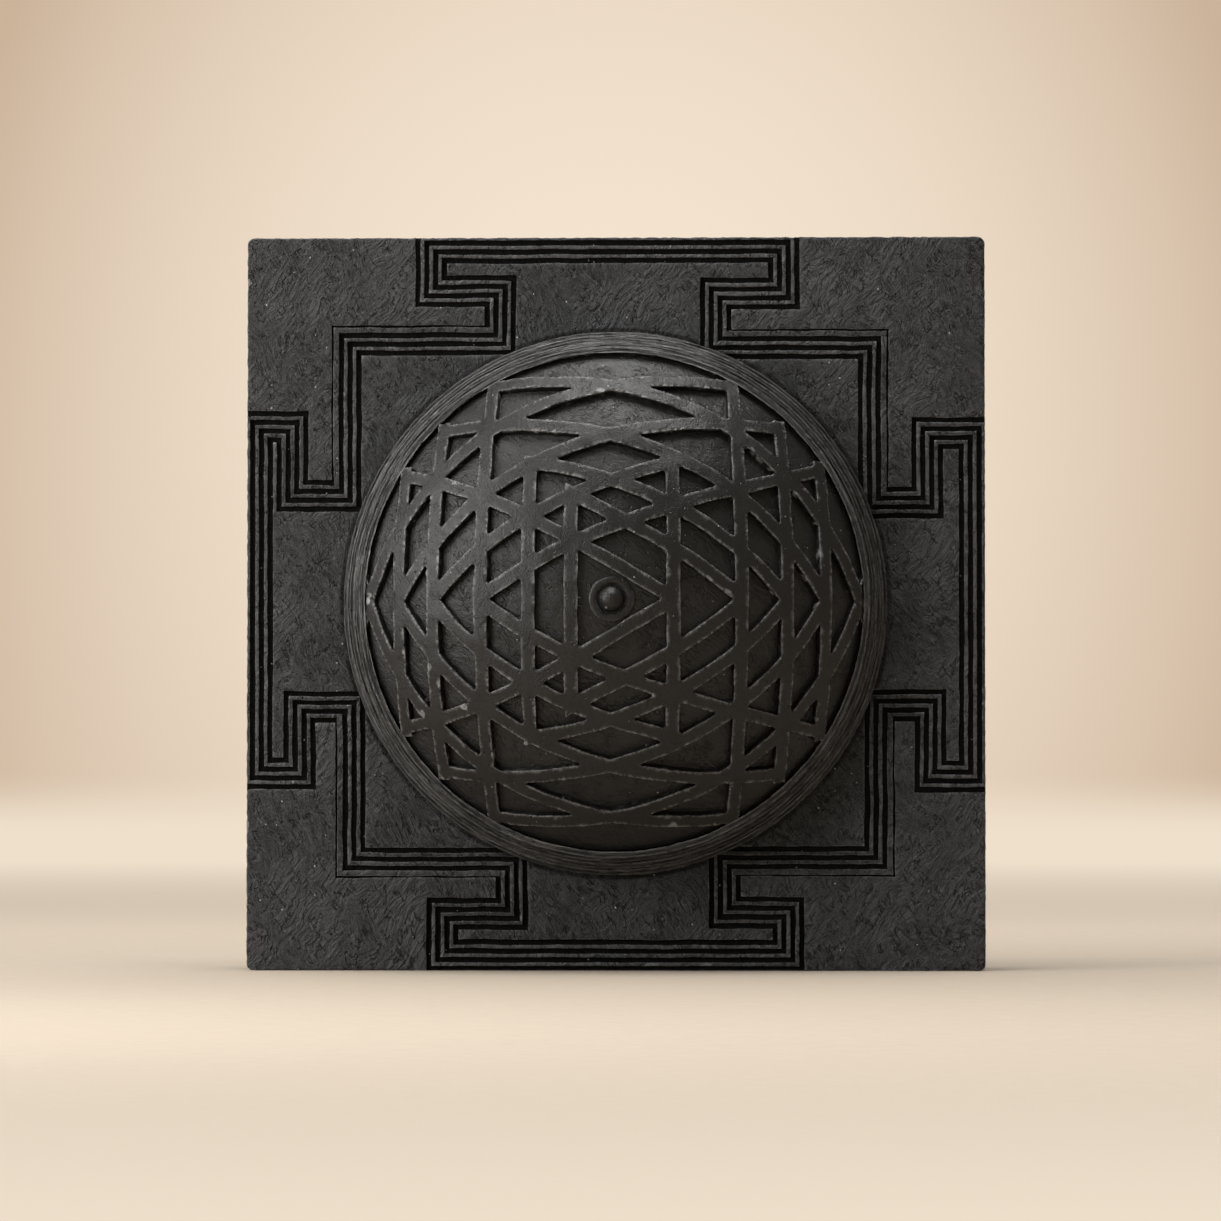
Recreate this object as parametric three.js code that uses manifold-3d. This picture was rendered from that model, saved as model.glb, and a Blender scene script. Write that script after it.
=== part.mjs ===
// Shri yantra: a domed boss carved with nine interlocking triangles, on an upright square stone slab.
// Millimetres. The finished part stands on the slab's bottom edge, +Z up, with the dome facing -Y.
// Each piece is drawn face up, X right, Y up and Z out of the slab's face. The group stands it upright.

import * as THREE from 'three';
import { mergeVertices } from 'three/addons/utils/BufferGeometryUtils.js';
import Module from 'manifold-3d';

const wasm = await Module();
wasm.setup();

// Slab
const slabWidth = 150;
const slabHeight = 149;
const slabThickness = 25;
const slabCornerRadius = 1.4;
const slabBevel = 0.6;

// Border: parallel grooves round a square with a T-shaped gate in each side
const grooveCount = 4;
const groovePitch = 1.8;
const grooveWidth = 1.0;
const grooveDepth = 0.9;
const gateOverrun = 0.7; // the outermost line of a gate's top falls this far past the slab's edge
const gateLane = 3.3; // between the innermost lines of a gate's top and of its arms
const gateNeckHalf = 19.2; // innermost line, from the gate's middle
const gateArmHalf = 32.6; // innermost line, from the gate's middle
const gateDrop = 5.2; // from the outermost line of the arms down to the outermost line of the square
const scratchWidth = 0.4; // the outermost line of the square is only scratched in

// Dome, measured from the slab's face
const sphereRadius = 71;
const ringRadius = 50.3; // inner wall of the top ring, where the carved cap ends
const rimHeight = 9.5;
const rimPlaces = ['lower', 'middle', 'upper'];
const rimSpread = 4.9; // how far the foot stands out past the ring's inner wall
const rimLip = 1.2;
const rimEdge = 0.5;
const cellDepth = 1.5;
const bandWidth = 2.75;
const baseRunOn = 0.25; // share of a band's width that a base runs past the middle of its corner

// Seats
const seam = 0.3; // clearance wherever two pieces meet
const spigotRadius = 44;
const spigotLength = 3;
const dowelRadius = 3;
const dowelLength = 18;
const dowelChamfer = 0.6;
const dowelSpread = 28;

// Bead and its collar
const beadRadius = 2.6;
const beadGap = 0.4;
const collarWall = 1.5;
const collarHeight = 1.3;
const collarEdge = 0.4;
const pegRadius = 1.2;
const pegLength = 2.6;

// Nine triangles, as shares of the arc that runs from the dome's top to the ring. Apex and base are places
// on the level axis, half is half the base's length, bow is how far a side swells past a straight line, and
// lean moves that swelling towards the apex. Two of them run into the ring at all three corners.
const triangles = [
  { apex: 0.225, base: -0.83, half: 0.5, bow: 0.045, lean: -0.4 },
  { apex: 0.818, base: -0.678, half: 0.674, bow: 0.243, lean: 0.15 },
  { apex: 0.985, base: -0.482, half: 0.86, bow: 0.298, lean: 0.04, meetsRing: true },
  { apex: 0.657, base: -0.302, half: 0.51, bow: 0.098, lean: 0.08 },
  { apex: 0.48, base: -0.146, half: 0.385, bow: 0.021, lean: 0.5 },
  { apex: -0.68, base: 0.222, half: 0.507, bow: 0.08, lean: 0.2 },
  { apex: -0.985, base: 0.474, half: 0.86, bow: 0.302, lean: 0.05, meetsRing: true },
  { apex: -0.832, base: 0.656, half: 0.682, bow: 0.237, lean: 0.15 },
  { apex: -0.49, base: 0.82, half: 0.522, bow: 0.058, lean: 0.6 },
];

// Facets
const roundSegments = 60;
const smallSegments = 24;
const cornerSteps = 4;
const arcSteps = 10;
const beadSteps = 6;
const ballDetail = 8;
const sideSteps = 7;
const baseSteps = 6;
const cutMargin = 1; // how far a cutter runs past the face that it opens
const mergeDistance = 1e-4;

// Places that follow from the sizes above
const domeCentre = rimHeight - Math.sqrt(sphereRadius ** 2 - ringRadius ** 2);
const arcReach = sphereRadius * Math.asin(ringRadius / sphereRadius);
const floorRadius = sphereRadius - cellDepth;
const coreRadius = ringRadius - seam;
const collarInner = beadRadius + beadGap;
const collarOuter = collarInner + collarWall;
const seatRadius = collarOuter + seam;
const seatLevel = domeCentre + Math.sqrt(floorRadius ** 2 - seatRadius ** 2);
const frontReach = seatLevel + seam + beadRadius;
const overallDepth = slabThickness + frontReach;

// Clean, closed, outward-facing copy of a geometry with shared vertices merged
function closedGeometry(geometry) {
  const bare = geometry.clone();
  bare.deleteAttribute('normal');
  bare.deleteAttribute('uv');
  const merged = mergeVertices(bare, mergeDistance);
  const places = merged.attributes.position;
  const corners = merged.index.array;
  const faces = [];
  let sixVolumes = 0;
  const [p, q, r] = [new THREE.Vector3(), new THREE.Vector3(), new THREE.Vector3()];
  for (let i = 0; i < corners.length; i += 3) {
    const [a, b, c] = [corners[i], corners[i + 1], corners[i + 2]];
    if (a === b || b === c || c === a) continue;
    faces.push([a, b, c]);
    p.fromBufferAttribute(places, a);
    q.fromBufferAttribute(places, b);
    r.fromBufferAttribute(places, c);
    sixVolumes += p.dot(q.cross(r));
  }
  const outward = sixVolumes > 0 ? faces : faces.map(([a, b, c]) => [a, c, b]);
  merged.setIndex(outward.flat());
  return merged;
}

// Solid that can be joined and cut
function toSolid(geometry) {
  const closed = closedGeometry(geometry);
  return new wasm.Manifold(new wasm.Mesh({
    numProp: 3,
    vertProperties: Float32Array.from(closed.attributes.position.array),
    triVerts: Uint32Array.from(closed.index.array),
  }));
}

function fromSolid(solid) {
  const { vertProperties, triVerts } = solid.getMesh();
  const geometry = new THREE.BufferGeometry();
  geometry.setAttribute('position', new THREE.BufferAttribute(vertProperties, 3));
  geometry.setIndex(new THREE.BufferAttribute(triVerts, 1));
  return geometry;
}

// Piece turned round the dome's axis from [radius, height] points
function turned(profile, segments = roundSegments) {
  const points = profile.map(([radius, height]) => new THREE.Vector2(radius, height));
  return new THREE.LatheGeometry(points, segments).rotateX(Math.PI / 2);
}

// Round hole or pin along Z between two heights
function cylinderAt(x, radius, low, high, segments = smallSegments) {
  const cylinder = new THREE.CylinderGeometry(radius, radius, high - low, segments);
  return cylinder.rotateX(Math.PI / 2).translate(x, 0, (low + high) / 2);
}

// Ball round the dome's centre, with even facets
function ballAt(radius) {
  return new THREE.IcosahedronGeometry(radius, ballDetail).translate(0, 0, domeCentre);
}

// Points of the carved floor's curve, from the wall of the core in to the bead's seat
function floorArc() {
  const wallAngle = Math.asin(coreRadius / floorRadius);
  const seatAngle = Math.asin(seatRadius / floorRadius);
  const points = [];
  for (let i = 0; i <= arcSteps; i += 1) {
    const angle = wallAngle + (seatAngle - wallAngle) * (i / arcSteps);
    points.push([floorRadius * Math.sin(angle), domeCentre + floorRadius * Math.cos(angle)]);
  }
  return points;
}

// Closed outline of one border line, moved inwards by the insets
function borderOutline(gateInset, squareInset) {
  const lineSpan = (grooveCount - 1) * groovePitch;
  const neck = gateNeckHalf + lineSpan - gateInset;
  const arm = gateArmHalf + lineSpan - gateInset;
  const armDepth = 2 * lineSpan + gateLane - gateOverrun;
  const outline = [];
  for (let side = 0; side < 4; side += 1) {
    const halves = [slabWidth / 2, slabHeight / 2];
    const [across, out] = side % 2 === 0 ? halves : halves.reverse();
    const squareInsetTotal = armDepth + gateDrop + squareInset;
    const square = out - squareInsetTotal;
    const arms = out - armDepth + gateInset;
    const top = out + gateOverrun - gateInset;
    const corners = [
      [squareInsetTotal - across, square],
      [-neck, square],
      [-neck, arms],
      [-arm, arms],
      [-arm, top],
      [arm, top],
      [arm, arms],
      [neck, arms],
      [neck, square],
    ];
    for (const [along, outward] of corners) {
      const corner = new THREE.Vector2(-along, outward);
      outline.push(corner.rotateAround(new THREE.Vector2(), side * Math.PI / 2));
    }
  }
  return outline;
}

// Ring-shaped cutter for one border line
function grooveCutter(line) {
  const inset = line * groovePitch;
  const half = grooveWidth / 2;
  const squareHalf = line === 0 ? scratchWidth / 2 : half;
  const shape = new THREE.Shape(borderOutline(inset - half, inset - squareHalf));
  shape.holes.push(new THREE.Path(borderOutline(inset + half, inset + squareHalf)));
  const depth = grooveDepth + cutMargin;
  return new THREE.ExtrudeGeometry(shape, { depth, bevelEnabled: false }).translate(0, 0, -grooveDepth);
}

// Square slab with its border, the socket for the dome and two dowel holes
function baseSlab() {
  const [x, y, r] = [slabWidth / 2, slabHeight / 2, slabCornerRadius];
  const shape = new THREE.Shape();
  shape.absarc(x - r, y - r, r, 0, Math.PI / 2);
  shape.absarc(r - x, y - r, r, Math.PI / 2, Math.PI);
  shape.absarc(r - x, r - y, r, Math.PI, 1.5 * Math.PI);
  shape.absarc(x - r, r - y, r, 1.5 * Math.PI, 2 * Math.PI);
  const plate = new THREE.ExtrudeGeometry(shape, {
    depth: slabThickness - 2 * slabBevel,
    curveSegments: cornerSteps,
    bevelSize: slabBevel,
    bevelThickness: slabBevel,
    bevelOffset: -slabBevel,
    bevelSegments: 1,
  }).translate(0, 0, slabBevel - slabThickness);
  let slab = toSolid(plate);
  for (let line = 0; line < grooveCount; line += 1) {
    slab = slab.subtract(toSolid(grooveCutter(line)));
  }
  const socketFloor = -(spigotLength + seam);
  const socket = cylinderAt(0, spigotRadius + seam, socketFloor, cutMargin, roundSegments);
  slab = slab.subtract(toSolid(socket));
  const holeFloor = -(spigotLength + dowelLength / 2 + seam);
  for (const holeX of [-dowelSpread, dowelSpread]) {
    const hole = cylinderAt(holeX, dowelRadius + seam, holeFloor, socketFloor + cutMargin);
    slab = slab.subtract(toSolid(hole));
  }
  return fromSolid(slab);
}

// Domed boss: spigot, shoulder, wall, carved floor and the seat of the bead
function domeCore() {
  const pegHoleRadius = pegRadius + seam;
  const pegHoleFloor = seatLevel - pegLength - seam;
  let core = toSolid(turned([
    [0, -spigotLength],
    [spigotRadius, -spigotLength],
    [spigotRadius, seam],
    [coreRadius, seam],
    ...floorArc(),
    [pegHoleRadius, seatLevel],
    [pegHoleRadius, pegHoleFloor],
    [0, pegHoleFloor],
  ]));
  const holeTop = dowelLength / 2 - spigotLength + seam;
  for (const x of [-dowelSpread, dowelSpread]) {
    const hole = cylinderAt(x, dowelRadius + seam, -spigotLength - cutMargin, holeTop);
    core = core.subtract(toSolid(hole));
  }
  return fromSolid(core);
}

// Point of the dome above a flat place, at a distance from the dome's centre
function onDome(place, distance) {
  const angle = place.length() / sphereRadius;
  const turn = Math.atan2(place.y, place.x);
  return [
    distance * Math.sin(angle) * Math.cos(turn),
    distance * Math.sin(angle) * Math.sin(turn),
    domeCentre + distance * Math.cos(angle),
  ];
}

// Upright wall that follows a strip of [left, right] flat places, through the whole thickness of the cap
function wallOnDome(strip) {
  const positions = [];
  for (const [left, right] of strip) {
    for (const place of [left, right]) {
      positions.push(...onDome(place, floorRadius - cutMargin));
      positions.push(...onDome(place, sphereRadius + cutMargin));
    }
  }
  const faces = [];
  const quad = (a, b, c, d) => faces.push(a, b, c, a, c, d);
  for (let i = 0; i < strip.length - 1; i += 1) {
    const [s, t] = [4 * i, 4 * i + 4];
    quad(s, t, t + 1, s + 1);
    quad(s + 1, t + 1, t + 3, s + 3);
    quad(s + 3, t + 3, t + 2, s + 2);
    quad(s + 2, t + 2, t, s);
  }
  const last = 4 * (strip.length - 1);
  quad(0, 1, 3, 2);
  quad(last, last + 2, last + 3, last + 1);
  const geometry = new THREE.BufferGeometry();
  geometry.setAttribute('position', new THREE.Float32BufferAttribute(positions, 3));
  geometry.setIndex(faces);
  return toSolid(geometry);
}

// Left and right edges of a band round a centre line
function bandEdges(line) {
  return line.map((place, i) => {
    const before = line[Math.max(i - 1, 0)];
    const after = line[Math.min(i + 1, line.length - 1)];
    const along = after.clone().sub(before).normalize();
    const offset = new THREE.Vector2(-along.y, along.x).multiplyScalar(bandWidth / 2);
    return [place.clone().add(offset), place.clone().sub(offset)];
  });
}

// Straight base band, run on past its corners
function baseBand({ base, half, meetsRing }) {
  const reach = half * arcReach + bandWidth * (meetsRing ? 1 : baseRunOn);
  const line = [];
  for (let i = 0; i <= baseSteps; i += 1) {
    line.push(new THREE.Vector2(base * arcReach, reach * (2 * i / baseSteps - 1)));
  }
  return wallOnDome(bandEdges(line));
}

// Swelling side band from the apex to one end of the base, mitred along the base's outer edge
function sideBand({ apex, base, half, bow, lean, meetsRing }, upDown) {
  const start = new THREE.Vector2(apex, 0);
  const chord = new THREE.Vector2(base - apex, half);
  const normal = new THREE.Vector2(half, apex - base).normalize();
  if (normal.y < 0) normal.negate();
  const line = [];
  for (let i = 0; i <= sideSteps; i += 1) {
    const f = i / sideSteps;
    const swell = 4 * bow * f * (1 - f) * (1 + lean * (1 - 2 * f));
    const place = start.clone().addScaledVector(chord, f).addScaledVector(normal, swell);
    line.push(place.multiply(new THREE.Vector2(1, upDown)).multiplyScalar(arcReach));
  }
  const edges = bandEdges(line);
  const heading = line.at(-1).clone().sub(line.at(-2));
  const outerEdge = base * arcReach + Math.sign(heading.x) * bandWidth / 2;
  edges[edges.length - 1] = edges.at(-1).map((place) => (
    place.clone().addScaledVector(heading, (outerEdge - place.x) / heading.x)
  ));
  if (meetsRing) {
    const outOfApex = line[0].clone().sub(line[1]).setLength(bandWidth / 2);
    edges[0] = edges[0].map((place) => place.clone().add(outOfApex));
  }
  return wallOnDome(edges);
}

// Fretwork cap: all the bands joined, then cut to the dome's curve, its thickness and the ring
function triangleLattice() {
  let walls = null;
  for (const triangle of triangles) {
    for (const band of [baseBand(triangle), sideBand(triangle, 1), sideBand(triangle, -1)]) {
      walls = walls ? walls.add(band) : band;
    }
  }
  const inRing = cylinderAt(0, coreRadius, domeCentre, rimHeight + sphereRadius, roundSegments);
  const cap = walls.intersect(toSolid(ballAt(sphereRadius))).intersect(toSolid(inRing));
  return fromSolid(cap.subtract(toSolid(ballAt(floorRadius + seam))));
}

// One ring of the rim, counted from the slab
function girdleRing(level) {
  const ringHeight = rimHeight / rimPlaces.length - seam;
  const low = seam + level * (ringHeight + seam);
  const high = low + ringHeight;
  const outerAt = (height) => ringRadius + rimLip + (rimSpread - rimLip) * (1 - height / rimHeight);
  return turned([
    [ringRadius, low],
    [outerAt(low) - rimEdge, low],
    [outerAt(low), low + rimEdge],
    [outerAt(high), high - rimEdge],
    [outerAt(high) - rimEdge, high],
    [ringRadius, high],
    [ringRadius, low],
  ]);
}

// Ring round the bead, resting on the flat seat at the dome's top
function binduCollar() {
  const low = seatLevel + seam;
  const high = low + collarHeight;
  return turned([
    [collarInner, low],
    [collarOuter, low],
    [collarOuter, high - collarEdge],
    [collarOuter - collarEdge, high],
    [collarInner + collarEdge, high],
    [collarInner, high - collarEdge],
    [collarInner, low],
  ], smallSegments);
}

// Half-round bead with a peg
function binduBead() {
  const low = seatLevel + seam;
  const profile = [[0, seatLevel - pegLength], [pegRadius, seatLevel - pegLength], [pegRadius, low]];
  for (let i = 0; i <= beadSteps; i += 1) {
    const angle = (i / beadSteps) * Math.PI / 2;
    const radius = i === beadSteps ? 0 : beadRadius * Math.cos(angle);
    profile.push([radius, low + beadRadius * Math.sin(angle)]);
  }
  return turned(profile, smallSegments);
}

// Chamfered pin, half in the slab and half in the core
function dowel(x) {
  const low = -spigotLength - dowelLength / 2;
  const high = low + dowelLength;
  return turned([
    [0, low],
    [dowelRadius - dowelChamfer, low],
    [dowelRadius, low + dowelChamfer],
    [dowelRadius, high - dowelChamfer],
    [dowelRadius - dowelChamfer, high],
    [0, high],
  ], smallSegments).translate(x, 0, 0);
}

const slabStone = { color: 0x3b3c3f, roughness: 0.9, metalness: 0 };
const floorStone = { color: 0x2f2c29, roughness: 0.8, metalness: 0 };
const bandStone = { color: 0x25221f, roughness: 0.5, metalness: 0 };
const rimStone = { color: 0x2a2724, roughness: 0.6, metalness: 0 };
const dowelSteel = { color: 0x8c8f93, roughness: 0.4, metalness: 1 };

function addPiece(group, name, geometry, look) {
  const piece = new THREE.Mesh(closedGeometry(geometry), new THREE.MeshStandardMaterial(look));
  piece.name = name;
  group.add(piece);
}

const yantra = new THREE.Group();
addPiece(yantra, 'base_slab', baseSlab(), slabStone);
addPiece(yantra, 'dome_core', domeCore(), floorStone);
addPiece(yantra, 'triangle_lattice', triangleLattice(), bandStone);
rimPlaces.forEach((place, level) => {
  addPiece(yantra, `girdle_ring_${place}`, girdleRing(level), rimStone);
});
addPiece(yantra, 'bindu_collar', binduCollar(), bandStone);
addPiece(yantra, 'bindu_bead', binduBead(), bandStone);
addPiece(yantra, 'dowel_left', dowel(-dowelSpread), dowelSteel);
addPiece(yantra, 'dowel_right', dowel(dowelSpread), dowelSteel);

yantra.rotation.x = Math.PI / 2;
yantra.position.set(0, overallDepth / 2 - slabThickness, slabHeight / 2);

export default yantra;
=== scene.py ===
import math
import bpy
import numpy as np
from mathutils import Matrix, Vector

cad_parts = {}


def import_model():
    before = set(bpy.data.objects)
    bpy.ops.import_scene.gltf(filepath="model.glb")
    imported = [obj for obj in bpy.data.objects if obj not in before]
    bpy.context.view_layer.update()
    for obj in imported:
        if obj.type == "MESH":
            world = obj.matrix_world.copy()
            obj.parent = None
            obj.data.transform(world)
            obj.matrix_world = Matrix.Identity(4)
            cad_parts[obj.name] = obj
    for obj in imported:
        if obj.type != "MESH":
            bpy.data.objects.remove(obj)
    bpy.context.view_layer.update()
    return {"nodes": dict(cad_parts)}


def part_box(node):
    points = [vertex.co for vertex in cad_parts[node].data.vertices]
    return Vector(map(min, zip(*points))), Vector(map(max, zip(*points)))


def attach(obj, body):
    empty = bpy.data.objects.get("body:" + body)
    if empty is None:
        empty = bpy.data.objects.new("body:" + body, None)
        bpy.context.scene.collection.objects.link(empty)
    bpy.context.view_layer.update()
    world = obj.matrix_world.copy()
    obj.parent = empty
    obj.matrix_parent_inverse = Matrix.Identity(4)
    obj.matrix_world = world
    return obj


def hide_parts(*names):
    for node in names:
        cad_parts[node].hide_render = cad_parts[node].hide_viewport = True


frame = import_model()
mm = 0.001

slabLow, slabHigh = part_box("base_slab")
faceY = slabLow.y  # front face of the slab
centreZ = (slabLow.z + slabHigh.z) / 2
slabWidth = (slabHigh.x - slabLow.x) / mm
slabHeight = (slabHigh.z - slabLow.z) / mm
slabThickness = (slabHigh.y - slabLow.y) / mm
looseFront = 0.5  # hand work may lift the slab's face by this much, in mm


# helpers

sameSpot = 1e-6  # places nearer than this are one, in metres
noLength = 1e-7


def world(x, y, height=0.0):
    # x right and y up from the middle of the face, height out of the face, in mm
    return Vector((x * mm, faceY - height * mm, centreZ + y * mm))


def deselectAll():
    if bpy.context.object and bpy.context.object.mode != "OBJECT":
        bpy.ops.object.mode_set(mode="OBJECT")
    bpy.ops.object.select_all(action="DESELECT")


def activate(piece):
    deselectAll()
    piece.select_set(True)
    bpy.context.view_layer.objects.active = piece


def newPiece(name):
    piece = bpy.context.object
    piece.name = name
    piece.data.name = name
    return piece


def gridPiece(name, columns, rows):
    # flat grid, with the column and the row that each point is in
    deselectAll()
    bpy.ops.mesh.primitive_grid_add(x_subdivisions=columns, y_subdivisions=rows, size=1)
    piece = newPiece(name)
    shares = readPlaces(piece)[:, :2] + 0.5
    column, row = np.rint(shares * (columns, rows)).astype(int).T
    return piece, column, row


def editMode(piece, kind):
    activate(piece)
    bpy.context.tool_settings.mesh_select_mode = (kind == "VERT", kind == "EDGE", kind == "FACE")
    bpy.ops.object.mode_set(mode="EDIT")


def editAll(piece, kind="VERT"):
    editMode(piece, kind)
    bpy.ops.mesh.select_all(action="SELECT")


def objectMode():
    bpy.ops.object.mode_set(mode="OBJECT")


def joinPieces(pieces):
    # the others become part of the first
    deselectAll()
    for piece in pieces:
        piece.select_set(True)
    bpy.context.view_layer.objects.active = pieces[0]
    bpy.ops.object.join()


def readAll(group, key, width=1, kind=float):
    values = np.empty(len(group) * width, kind)
    group.foreach_get(key, values)
    return values.reshape(-1, width) if width > 1 else values


def readPlaces(piece):
    return readAll(piece.data.vertices, "co", 3)


def writePlaces(piece, places):
    piece.data.vertices.foreach_set("co", places.ravel())
    piece.data.update()


def faceCentres(piece):
    return readAll(piece.data.polygons, "center", 3)


def faceNormals(piece):
    return readAll(piece.data.polygons, "normal", 3)


def edgeEnds(piece):
    return readAll(piece.data.edges, "vertices", 2, int)


def facesBeside(piece, chosen=True):
    # how many faces each edge has, or how many of the chosen ones
    sides = readAll(piece.data.polygons, "loop_total", kind=int)
    counted = np.repeat(np.broadcast_to(chosen, len(sides)), sides)
    edges = readAll(piece.data.loops, "edge_index", kind=int)
    return np.bincount(edges[counted], minlength=len(piece.data.edges))


def openEdges(piece):
    return facesBeside(piece) == 1


def bothEnds(piece, chosen):
    # edges that have both ends among the chosen points
    ends = edgeEnds(piece)
    return chosen[ends[:, 0]] & chosen[ends[:, 1]]


def radiiOf(places):
    # distance from the dome's axis, in mm
    return np.hypot(places[:, 0], places[:, 2] - centreZ) / mm


def scaleRadii(places, chosen, factors):
    places[chosen, 0] *= factors
    places[chosen, 2] = centreZ + (places[chosen, 2] - centreZ) * factors


def triangleCount(piece):
    return sum(len(face.vertices) - 2 for face in piece.data.polygons)


def pick(piece, kind, chosen):
    # selects faces or edges and goes to edit mode
    mesh = piece.data
    for group in (mesh.vertices, mesh.edges, mesh.polygons):
        group.foreach_set("select", np.zeros(len(group), bool))
    {"FACE": mesh.polygons, "EDGE": mesh.edges}[kind].foreach_set("select", chosen)
    editMode(piece, kind)


def drawBack(distance):
    # extrudes what is selected towards the back, in mm
    bpy.ops.mesh.extrude_region_move(TRANSFORM_OT_translate={"value": (0, distance * mm, 0)})


def bevel(width, segments, clamp):
    # rounds the edges that are selected
    bpy.ops.mesh.bevel(offset=width * mm, segments=segments, profile=0.5, affect="EDGES", clamp_overlap=clamp)
    objectMode()


def faceOutwards():
    bpy.ops.mesh.select_all(action="SELECT")
    bpy.ops.mesh.normals_make_consistent(inside=False)


def closeSeams(piece):
    editAll(piece)
    bpy.ops.mesh.remove_doubles(threshold=2 * sameSpot)
    bpy.ops.mesh.dissolve_degenerate(threshold=noLength)
    faceOutwards()
    objectMode()
    print(piece.name, "closed, open edges", int(openEdges(piece).sum()))


def addModifier(piece, kind, **values):
    activate(piece)
    modifier = piece.modifiers.new(kind.title(), kind)
    for key, value in values.items():
        setattr(modifier, key, value)
    bpy.ops.object.modifier_apply(modifier=modifier.name)


def roughen(piece, size, strength, direction="NORMAL", group="", layers=2, level=0.5, contrast=1.0):
    # pushes the surface about with a cloud pattern, size and strength in mm
    pattern = bpy.data.textures.new("pattern", "CLOUDS")
    pattern.noise_scale = size * mm
    pattern.noise_depth = layers
    pattern.contrast = contrast
    pattern.cloud_type = "COLOR" if direction == "RGB_TO_XYZ" else "GRAYSCALE"
    addModifier(piece, "DISPLACE", texture=pattern, direction=direction, strength=strength * mm,
                mid_level=level, vertex_group=group, texture_coords="LOCAL")


def weigh(piece, name, shares):
    # vertex group with these shares, in a few even levels
    levels = 12
    group = piece.vertex_groups.new(name=name)
    rounded = np.rint(np.clip(shares, 0, 1) * levels).astype(int)
    for level in range(1, levels + 1):
        group.add(np.nonzero(rounded == level)[0].tolist(), level / levels, "REPLACE")


def markPaintedShade(piece, chosen):
    # 1 where the materials paint shade, deep in the grooves and on the walls of the bands
    cut = piece.data.attributes.new("cut", "FLOAT", "POINT")
    cut.data.foreach_set("value", chosen.astype(float))


def smooth(piece, angle):
    activate(piece)
    bpy.ops.object.shade_smooth_by_angle(angle=math.radians(angle))


def finishPiece(piece, node, material, angle=50):
    smooth(piece, angle)
    # no bump stands out past the node's own box
    low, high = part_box(node)
    slack = Vector((0, looseFront * mm if node == "base_slab" else 0, 0))
    writePlaces(piece, np.clip(readPlaces(piece), low - slack, high))
    piece.data.materials.clear()
    piece.data.materials.append(material)
    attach(piece, "root")
    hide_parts(node)
    print(piece.name, "triangles", triangleCount(piece))


# camera

view = dict(place=(32.57, -1200, 38.0), aim=(-0.91, 0.0, 72.95), lens=174.91, sensor=36.0)

bpy.ops.object.camera_add(location=Vector(view["place"]) * mm)
camera = bpy.context.object
camera.name = "camera"
camera.rotation_euler = (Vector(view["aim"]) - Vector(view["place"])).to_track_quat("-Z", "Y").to_euler()
camera.data.lens = view["lens"]
camera.data.sensor_width = view["sensor"]
camera.data.clip_start = 0.01
camera.data.clip_end = 60
bpy.context.scene.camera = camera
print("camera placed")


# shader groups

def newGroup(name, values, results):
    # takes a place and these numbers, and gives masks or values
    group = bpy.data.node_groups.new(name, "ShaderNodeTree")
    newSocket = group.interface.new_socket
    newSocket("Vector", in_out="INPUT", socket_type="NodeSocketVector")
    for label, value in values.items():
        newSocket(label, in_out="INPUT", socket_type="NodeSocketFloat").default_value = value
    for label in results:
        newSocket(label, in_out="OUTPUT", socket_type="NodeSocketFloat")
    return group, group.nodes.new("NodeGroupInput"), group.nodes.new("NodeGroupOutput")


def feed(tree, node, inputs):
    # results of other nodes are linked, plain values are set
    for key, value in inputs.items():
        if isinstance(value, bpy.types.NodeSocket):
            tree.links.new(value, node.inputs[key])
        else:
            node.inputs[key].default_value = value


def addNode(tree, kind, inputs=None, **values):
    node = tree.nodes.new("ShaderNode" + kind)
    for key, value in values.items():
        setattr(node, key, value)
    feed(tree, node, inputs or {})
    return node


def maths(tree, operation, first, second=0.0, clamp=False):
    return addNode(tree, "Math", {0: first, 1: second}, operation=operation, use_clamp=clamp).outputs[0]


def vectors(tree, operation, first, second):
    key = "Scale" if operation == "SCALE" else 1
    return addNode(tree, "VectorMath", {0: first, key: second}, operation=operation).outputs[0]


def ramp(tree, value, low, high, outLow=0.0, outHigh=1.0):
    inputs = {"Value": value, "From Min": low, "From Max": high, "To Min": outLow, "To Max": outHigh}
    return addNode(tree, "MapRange", inputs, interpolation_type="SMOOTHSTEP").outputs["Result"]


def noiseAt(tree, place, scale, detail=3.0, roughness=0.55):
    inputs = {"Vector": place, "Scale": scale, "Detail": detail, "Roughness": roughness}
    return addNode(tree, "TexNoise", inputs).outputs["Fac"]


def inMillimetres(tree, place):
    return vectors(tree, "SCALE", place, 1 / mm)


def blend(tree, factor, first, second):
    node = addNode(tree, "Mix", {"Factor": factor}, data_type="RGBA")
    for index, value in ((6, first), (7, second)):
        feed(tree, node, {index: (*value, 1) if isinstance(value, tuple) else value})
    return node.outputs[2]


def newMaterial(name):
    # material, its tree, its shader and the place on the object
    material = bpy.data.materials.new(name)
    material.use_nodes = True
    tree = material.node_tree
    return material, tree, tree.nodes["Principled BSDF"], addNode(tree, "TexCoord").outputs["Object"]


def timesColour(colour, factor):
    return tuple(factor * part for part in colour)


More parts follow.
